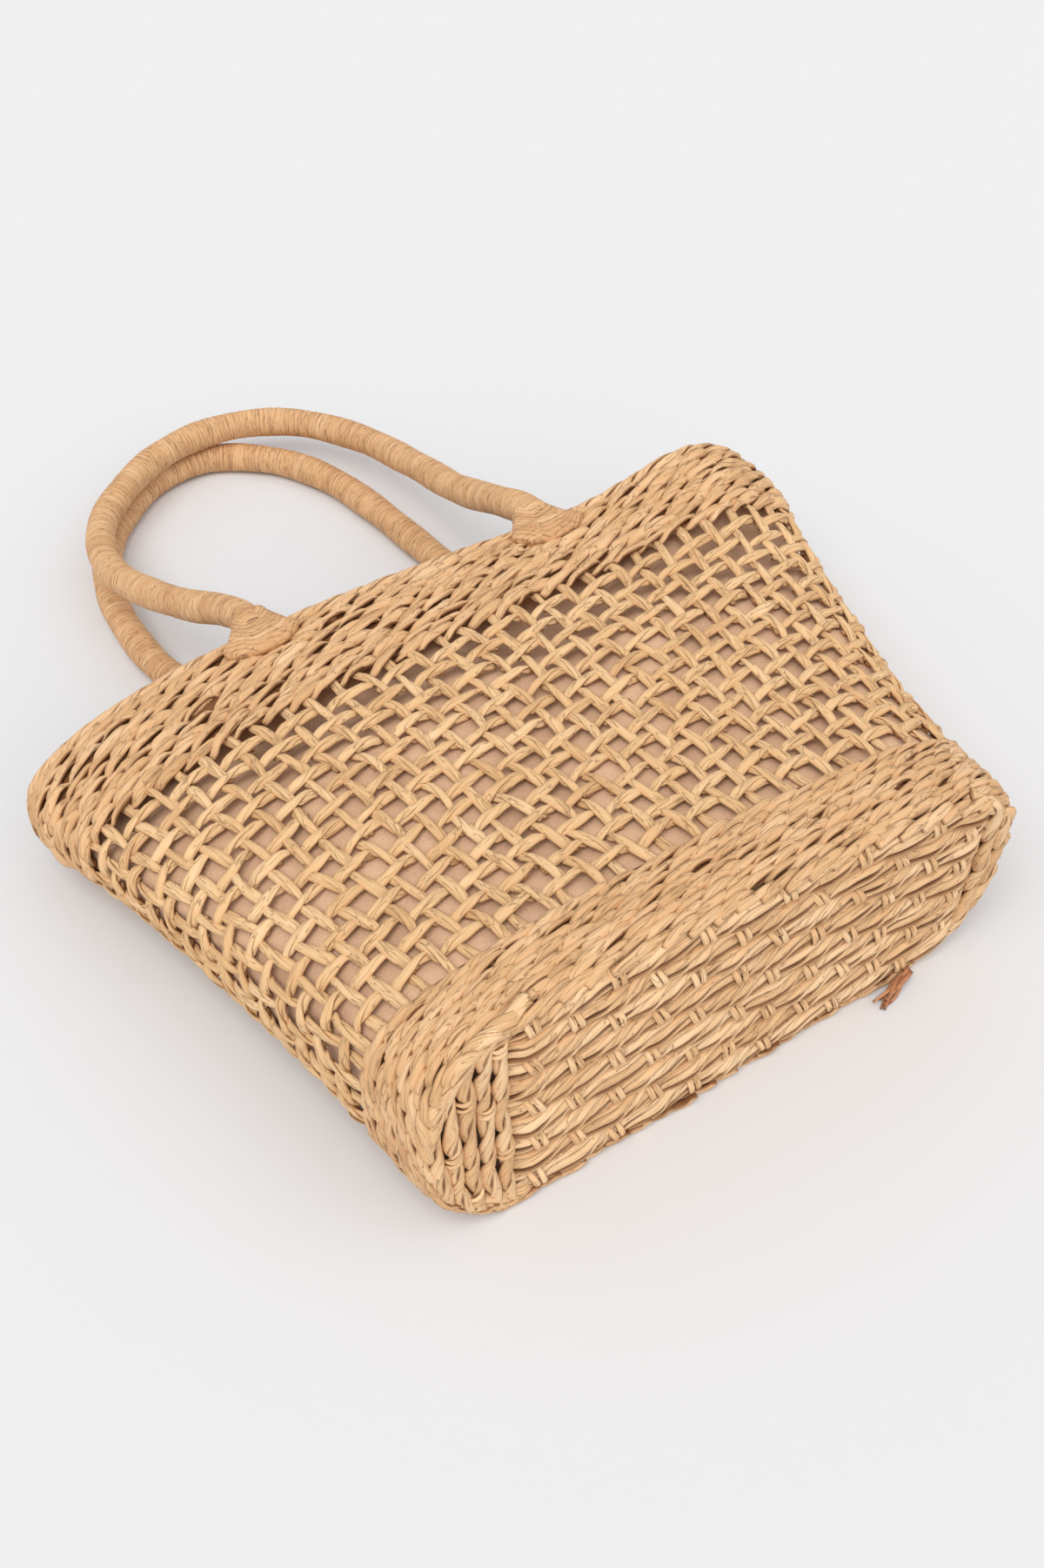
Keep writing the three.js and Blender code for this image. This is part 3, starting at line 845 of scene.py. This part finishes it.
def base_columns(strands, side, count, panel_end):
    """Ropes across the base at one end, side by side, that run in under the panel and the band."""
    for number in range(count):
        x, z, at = (values[None] for values in column_path(side, number, panel_end, 90))
        x = x + 0.0005 * slow_waves(at, (0.05, 0.03), 1)
        ends = 1 - smoothstep(np.minimum(at, at.max() - at) / 0.012)
        over = np.cos(math.pi * (z / STAKE_PITCH + number))
        middle = base_place(x, z, BASE_MIDDLE - 0.0006 + 0.0045 * ends - 0.0006 * over)
        along = unit(np.gradient(middle, axis=1))
        outside = np.broadcast_to(OUTSIDE, along.shape)
        aside = unit(np.cross(outside, along))
        start = rng.uniform(0, 2 * math.pi)
        twist = start + 2 * math.pi * at / COLUMN_LAY + 0.4 * slow_waves(at, (0.06, 0.035), 1)
        for ply in range(COLUMN_PLIES):
            turned = (twist + 2 * math.pi * ply / COLUMN_PLIES)[..., None]
            around = aside * np.cos(turned) * COLUMN_SPREAD[0] + outside * np.sin(turned) * COLUMN_SPREAD[1]
            strands.add(middle + around, around + outside * 0.0010, 0.0033, 0.0019, section=ROUND_SECTION)


def add_stitch(strands, share, x, z, depth):
    """A short straw on the base's outer face, thinner towards its ends."""
    point = base_place(x, z, depth)[None]
    width = STITCH_WIDTH * (1 - 0.35 * np.abs(share) ** 3)
    strands.add(point, np.broadcast_to(OUTSIDE, point.shape), width, STITCH_DEPTH, section=ROUND_SECTION)


def cross_stitches(strands):
    """Short paired straws across the columns at the left end."""
    share = np.linspace(-1, 1, 9)
    for number in range(1, LEFT_COLUMNS):
        for row in range(1, 6):
            z = (row + 0.5 * (number % 2)) * STAKE_PITCH + rng.normal(0, 0.0010)
            if (row + number) % 3 > 0 or z > BASE_DEPTH - 0.014:
                continue
            x = -column_reach(number) + rng.normal(0, 0.0004)
            for side in (-1, 1):
                depth = 0.0010 + 0.0045 * np.abs(share) ** 3 + rng.normal(0, 0.0002)
                upward = z + side * STITCH_APART + 0.0012 * share + rng.normal(0, 0.0002)
                add_stitch(strands, share, x + 0.0042 * share, upward, depth)


def base_stakes(strands):
    """Short paired straws that show where a stake passes over a rope."""
    share = np.linspace(-1, 1, 11)
    first = math.ceil((PANEL_LEFT + 0.006) / STAKE_PITCH)
    last = math.floor((PANEL_RIGHT - 0.006) / STAKE_PITCH)
    for column in range(first, last + 1):
        for rope in range(ROPE_COUNT):
            if (column + rope) % 2 == 0:
                continue
            x = column * STAKE_PITCH + rng.normal(0, 0.0008)
            z = rope_height(np.array(x), rope) + rng.normal(0, 0.0004)
            for side in (-1, 1):
                lean = rng.normal(-0.0021, 0.0006)
                reach = 0.0064 + rng.normal(0, 0.0005)
                across = x + side * STITCH_APART + lean * share + rng.normal(0, 0.0002)
                depth = 0.0008 + 0.0050 * np.abs(share) ** 3 + rng.normal(0, 0.0003)
                add_stitch(strands, share, across, z + reach * share, depth)


def base():
    strands = Strands()
    base_ropes(strands)
    base_columns(strands, -1, LEFT_COLUMNS, PANEL_LEFT)
    base_columns(strands, 1, RIGHT_COLUMNS, PANEL_RIGHT)
    base_stakes(strands)
    cross_stitches(strands)
    strands.build("base_weave", BASE_STRAW, "straw_base", ["base"])


# Grids: surfaces from rings of points

def grid_quads(rows, columns):
    row, column = np.meshgrid(np.arange(rows - 1), np.arange(columns), indexing="ij")
    after = (column + 1) % columns
    return np.stack([
        row * columns + column, row * columns + after,
        (row + 1) * columns + after, (row + 1) * columns + column,
    ], -1).reshape(-1, 4)


def grid_places(quads, columns, row_step, column_step):
    """Places on the straw for a grid's quads, where the last column runs on past the first."""
    row, column = quads // columns, quads % columns
    at_seam = column.max(1, keepdims=True) == columns - 1
    column = np.where((column == 0) & at_seam, columns, column)
    return np.stack([row * row_step, column * column_step], -1)


# The lining: a slack cloth bag inside the walls

LINING_INSET = 0.0058
LINING_THICKNESS = 0.0012
LINING_FLOOR = 0.0105
LINING_SLACK = 0.0008
LINING_SAG = 0.013
SAG_PLACE, SAG_WIDTH = 0.80, 0.10

# The cloth's folds: size, and waves round the bag and up it
FOLDS = [(1.0, 6, 1.2), (0.8, 11, 2.3), (0.6, 19, -3.6), (0.45, 31, 5.1), (0.3, 47, 8.3)]


def lining():
    columns = 300
    heights = np.linspace(LINING_FLOOR / BODY_HEIGHT, 1 - LINING_DROP / BODY_HEIGHT, 90)
    turn = (np.arange(columns) / columns)[None, :]
    height = np.broadcast_to(heights[:, None], (len(heights), columns))
    point, out, _, _ = body.look(np.broadcast_to(turn, height.shape), height)
    topness = np.clip(out[..., 2], 0, 1) ** 2
    folds = 0
    for size, around, upward in FOLDS:
        phase = rng.uniform(0, 2 * math.pi)
        bend = 0.6 * np.sin(2 * math.pi * (height * 2.1 + 2 * turn) + phase)
        folds = folds + size * np.sin(2 * math.pi * (around * turn + upward * height) + phase + bend)
    slack = LINING_SLACK * (1 - folds / 1.4)
    sag = LINING_SAG * topness * np.exp(-(((height - SAG_PLACE) / SAG_WIDTH) ** 2))
    sag = sag * (0.75 + 0.25 * np.sin(14 * math.pi * turn))
    outer = point - out * (LINING_INSET + np.maximum(slack, 0))[..., None]
    outer[..., 2] -= sag
    inner = outer - out * LINING_THICKNESS
    shares = np.linspace(0.92, 0.0, 12)[:, None, None]
    centre = outer[0].mean(0)
    floor_outer = centre + (outer[0] - centre) * shares
    floor_inner = centre + (inner[0] - centre) * shares
    floor_inner[..., 1] += LINING_THICKNESS
    rings = np.concatenate([floor_outer[::-1], outer, inner[::-1], floor_inner])
    quads = grid_quads(len(rings), columns)
    places = np.zeros((len(quads), 4, 2))
    make_piece(
        "lining_bag", rings.reshape(-1, 3), quads, places, np.zeros(rings.size // 3),
        np.ones(rings.size // 3), LINING_CLOTH, "lining_cloth", ["lining"],
    )


# Handles: a straw wound round a rope core

def rim_edge(across, on_front):
    """The rim's edge at a place across, at the middle of the wall, on the front or the back panel."""
    samples = np.arange(2000)
    quarter = np.linspace(0, math.pi / 2, len(samples))
    angles = np.sign(across) * (math.pi - quarter if on_front else quarter)
    edge = body_point(np.ones(len(samples)), angles, WALL / 2)
    outer = body_point(np.ones(len(samples)), angles)
    at = np.interp(abs(across), np.abs(outer[:, 0] - BODY_ORIGIN[0]), samples)
    return np.array([np.interp(at, samples, edge[:, axis]) for axis in range(3)])


def smooth_route(points, samples):
    """A centripetal Catmull-Rom curve through the points."""
    points = np.asarray(points, float)
    before = 2 * points[0] - points[1]
    after = 2 * points[-1] - points[-2]
    points = np.concatenate([[before], points, [after]])
    route = []
    for i in range(1, len(points) - 2):
        p0, p1, p2, p3 = points[i - 1:i + 3]
        gaps = np.linalg.norm(np.diff(points[i - 1:i + 3], axis=0), axis=1)
        d0, d1, d2 = np.maximum(np.sqrt(gaps), 1e-6)
        slope1 = ((p1 - p0) / d0 - (p2 - p0) / (d0 + d1) + (p2 - p1) / d1) * d1
        slope2 = ((p2 - p1) / d1 - (p3 - p1) / (d1 + d2) + (p3 - p2) / d2) * d1
        t = np.linspace(0, 1, samples, endpoint=False)[:, None]
        route.append(hermite(t, p1, slope1, p2, slope2))
    return np.concatenate([*route, [points[-2]]])


def handle_route(table, on_front):
    """A handle's middle line, from its right foot at the rim to its left one."""
    lie_height = HANDLE_RADIUS + (HANDLE_DIAMETER + 2 * CLEARANCE if on_front else 0)
    half = HANDLE_SPREAD / 2
    feet = []
    for side in (1, -1):
        edge = rim_edge(side * half, on_front)
        nearer = rim_edge(side * (half - HANDLE_RADIUS), on_front)
        foot_height = max(edge[2], HANDLE_RADIUS)
        feet.append(np.array([BODY_ORIGIN[0] + side * half, nearer[1] + CLEARANCE, foot_height]))
    points = [feet[0]]
    for across, reach, height in table:
        foot = feet[0] if across > 0 else feet[1]
        points.append([
            BODY_ORIGIN[0] + across * half,
            foot[1] + HANDLE_REACH * reach,
            lie_height + (foot[2] - lie_height) * height,
        ])
    points.append(feet[1])
    return smooth_route(points, 60)


def even_steps(route, step):
    """Points at even steps along a route, and how far along it each is."""
    lengths = np.concatenate([[0], np.cumsum(np.linalg.norm(np.diff(route, axis=0), axis=1))])
    count = int(lengths[-1] / step)
    at = np.linspace(0, lengths[-1], count + 1)
    return np.stack([np.interp(at, lengths, route[:, axis]) for axis in range(3)], -1), at


def carried_frames(route):
    """Two directions square to the route, carried along it without turning round it."""
    along = unit(np.gradient(route, axis=0))
    first = np.empty_like(route)
    first[0] = unit(np.cross(along[0], [0.0, 0.0, 1.0]))
    for i in range(1, len(route)):
        carried = first[i - 1] - np.dot(first[i - 1], along[i]) * along[i]
        first[i] = carried / np.linalg.norm(carried)
    return first, np.cross(along, first)


WINDING_PITCH = 0.0021
WINDING_RELIEF = 0.0005
WINDING_STEP = 0.00052
LUMP_SIZE, LUMP_LENGTH = 0.00025, 0.047

# How the winding drifts from even turns: size in turns, wavelength, and waves round the handle
DRIFTS = [(0.30, 0.021, 1), (0.22, 0.013, 1), (0.16, 0.034, 2), (0.12, 0.0083, 0)]


def wound_handle(name, table, on_front):
    route, length = even_steps(handle_route(table, on_front), WINDING_STEP)
    first, second = carried_frames(route)
    sides = 26
    angle = (2 * math.pi * np.arange(sides) / sides)[None, :]
    reach = length[:, None]
    drift = 0.0
    for size, wavelength, round_count in DRIFTS:
        phase = rng.uniform(0, 2 * math.pi)
        drift = drift + size * np.sin(2 * math.pi * reach / wavelength + round_count * angle + phase)
    winding = reach / WINDING_PITCH + angle / (2 * math.pi) + drift
    number = np.floor(winding).astype(int)
    within = winding - number
    draws = rng.uniform(0, 1, (number.max() - number.min() + 2, 3))
    own = draws[number - number.min()]
    crown = (1 - np.abs(2 * within - 1) ** 2.4) ** 0.6
    tilt = (own[..., 2] - 0.5) * (within - 0.5)
    height = WINDING_RELIEF * (crown * (0.65 + 0.35 * own[..., 0]) + 0.5 * tilt)
    radius = HANDLE_RADIUS - WINDING_RELIEF * 0.85 + height
    radius = radius + LUMP_SIZE * np.sin(2 * math.pi * reach / LUMP_LENGTH + 2 * angle + 1.3)
    out = first[:, None] * np.cos(angle)[..., None] + second[:, None] * np.sin(angle)[..., None]
    rings = route[:, None] + out * radius[..., None]
    quads = grid_quads(len(rings), sides)
    places = grid_places(quads, sides, WINDING_STEP, HANDLE_RADIUS * 2 * math.pi / sides)
    # The ridge value follows each turn's crown: painted shade in the grooves between the turns
    make_piece(
        name, rings.reshape(-1, 3), quads[:, ::-1], places[:, ::-1], 0.1 + 0.8 * own[..., 1].ravel(),
        0.05 + 0.85 * crown.ravel(), WINDING_STRAW, "handle_winding",
        ["handle_front" if on_front else "handle_back"],
    )


# Patches: the winding runs on over the rim's edge and lies flat on the band in nested bends

# Where along a patch its sides draw in and where it thins, and how far it rises from the wall's middle
DRAW_IN_START, THIN_START = 0.55, 0.75
PATCH_RISE = 0.0034
PATCH_RELIEF = 0.0010
PATCH_RIDGES = 11


def turn_of(point, on_front):
    """The turn at which the rim passes a point."""
    turns = np.linspace(0.25, 0.75, 2001) if on_front else np.linspace(-0.25, 0.25, 2001)
    rim, _, _, _ = body.look(turns, np.ones(len(turns)))
    return turns[np.argmin(np.abs(rim[:, 0] - point[0]))]


def round_end(share, start, power):
    """1 up to the start, then down to 0 at the end of a share, along a rounded course."""
    late = np.clip(share - start, 0, 1) / (1 - start)
    return np.sqrt(np.clip(1 - late**power, 0, 1))


def anchor(name, side, on_front):
    """A flat wound patch over the rim's edge, from the handle's foot down over the band."""
    edge = rim_edge(side * HANDLE_SPREAD / 2, on_front)
    rows, columns = 60, 84
    down = np.linspace(0, 1, rows)[:, None]
    angle = (2 * math.pi * np.arange(columns) / columns)[None, :]
    reach = smoothstep(down)
    width = PATCH_FOOT + (PATCH_SPREAD - PATCH_FOOT) * np.sin(math.pi / 2 * reach) ** 0.8
    width = width * round_end(down, DRAW_IN_START, 2.4)
    thick = PATCH_THICK * (1 - 0.45 * reach) * round_end(down, THIN_START, 2)
    across = width * np.cos(angle)
    lift = thick * np.sign(np.sin(angle)) * np.abs(np.sin(angle)) ** 0.8
    aside = across / PATCH_SPREAD
    ridge = PATCH_RIDGES * np.sqrt(aside**2 + (down * 1.15) ** 2 + 0.02)
    ridge = ridge + 0.5 * np.sin(3 * aside + 4 * down + side) + 0.25 * np.sin(9 * aside)
    number = np.floor(ridge).astype(int)
    within = ridge - number
    draws = rng.uniform(0, 1, (number.max() - number.min() + 2, 2))
    own = draws[number - number.min()]
    crown = (1 - np.abs(2 * within - 1) ** 2.6) ** 0.6 * (0.6 + 0.4 * own[..., 0])
    lift = lift + PATCH_RELIEF * (crown - 0.7) * np.sin(angle)
    fall = PATCH_ABOVE - down * (PATCH_ABOVE + PATCH_BELOW)
    turn = turn_of(edge, on_front) + across / body.girth(1.0) * (-1 if on_front else 1)
    height = 1 + np.minimum(fall, 0) / BODY_HEIGHT
    point, out, up, _ = body.look(turn, np.broadcast_to(height, turn.shape))
    point = point + up * np.maximum(fall, 0)[..., None]
    sink = WALL / 2 - PATCH_RISE * smoothstep((-fall - 0.004) / 0.006)
    points = point + out * (lift - sink)[..., None]
    quads = grid_quads(rows, columns)
    places = grid_places(quads, columns, 0.0006, 0.0012)
    if on_front:
        quads, places = quads[:, ::-1], places[:, ::-1]
    # The ridge value follows each bend's crown: painted shade in the grooves between the bends
    make_piece(
        name, points.reshape(-1, 3), quads, places, own[..., 1].ravel(), 0.05 + 0.85 * crown.ravel(),
        WINDING_STRAW, "handle_winding", [name.replace("_patch", "")],
    )


# A frayed straw end under the base's edge

def stray_end():
    """A few flat straws that stick out from under the base, with frayed tips."""
    strands = Strands()
    count, steps = 9, 8
    share = np.linspace(0, 1, steps)[None, :, None]
    root = BODY_ORIGIN + np.array([0.106, 0.006, 0.0060]) + rng.normal(0, 0.0009, (count, 3))
    tip = BODY_ORIGIN + np.array([0.087, -0.0010, 0.0020]) + rng.normal(0, 0.0022, (count, 3))
    point = root[:, None] * (1 - share) + tip[:, None] * share
    point = point + rng.normal(0, 0.0012, (count, 1, 3)) * np.sin(math.pi * share)
    point[..., 2] = np.maximum(point[..., 2], 0.0011)
    width = 0.0011 * (1 - 0.5 * share[..., 0] ** 2)
    strands.add(point, np.broadcast_to([0.0, -0.5, 1.0], point.shape), width, 0.0005)
    strands.build("stray_end", STRAY_STRAW, "straw_base", ["base"])


# The floor, the lights and the camera

# Each light's name, azimuth, elevation and spread in degrees, and strength
LIGHTS = [
    ("key", -55, 60, 40, 1.38),
    ("fill", 12, 42, 80, 0.72),
]
FLOOR_HALF = 12.0
FLOOR_COLOUR = (0.868, 0.867, 0.871)
WORLD_COLOUR = (0.985, 0.99, 1.0, 1.0)
WORLD_STRENGTH = 0.68


def direction(azimuth, elevation):
    """The direction at an azimuth, which is 0 straight out from the base, and an elevation, in radians."""
    return Vector((
        math.sin(azimuth) * math.cos(elevation),
        -math.cos(azimuth) * math.cos(elevation),
        math.sin(elevation),
    ))


def add_aimed(name, data, back):
    """An object in the scene that looks against the direction back."""
    holder = bpy.data.objects.new(name, data)
    holder.rotation_euler = (-back).to_track_quat("-Z", "Y").to_euler()
    bpy.context.scene.collection.objects.link(holder)
    return holder


def floor():
    mesh = bpy.data.meshes.new("floor")
    corners = [(x * FLOOR_HALF, y * FLOOR_HALF, 0) for x, y in ((-1, -1), (1, -1), (1, 1), (-1, 1))]
    mesh.from_pydata(corners, [], [(0, 1, 2, 3)])
    paint = Shader("floor")
    paint.give(paint.surface, {"Base Color": linear(FLOOR_COLOUR), "Roughness": 0.9})
    mesh.materials.append(paint.material)
    plane = bpy.data.objects.new("floor", mesh)
    bpy.context.scene.collection.objects.link(plane)


def lights():
    world = bpy.data.worlds.new("studio")
    world.use_nodes = True
    background = world.node_tree.nodes["Background"]
    background.inputs["Color"].default_value = WORLD_COLOUR
    background.inputs["Strength"].default_value = WORLD_STRENGTH
    bpy.context.scene.world = world
    for name, azimuth, elevation, spread, strength in LIGHTS:
        light = bpy.data.lights.new(name, "SUN")
        light.energy = strength
        light.angle = math.radians(spread)
        add_aimed(name, light, direction(math.radians(azimuth), math.radians(elevation)))
    bpy.context.scene.view_settings.view_transform = "Standard"


def camera():
    lens = bpy.data.cameras.new("camera")
    lens.lens = LENS
    lens.sensor_width = SENSOR
    lens.sensor_fit = "AUTO"
    back = direction(CAMERA_AZIMUTH, CAMERA_ELEVATION)
    holder = add_aimed("camera", lens, back)
    holder.location = Vector(CAMERA_TARGET) + back * CAMERA_DISTANCE
    bpy.context.scene.camera = holder


camera()
floor()
lights()
net_rows()
uprights()
lower_rows()
rim_rows()
rim_edge_rope()
base()
lining()
wound_handle("handle_front_winding", FRONT_ROUTE, True)
wound_handle("handle_back_winding", BACK_ROUTE, False)
for panel in ("front", "back"):
    for end, side in (("right", 1), ("left", -1)):
        anchor(f"anchor_{panel}_{end}_patch", side, panel == "front")
stray_end()
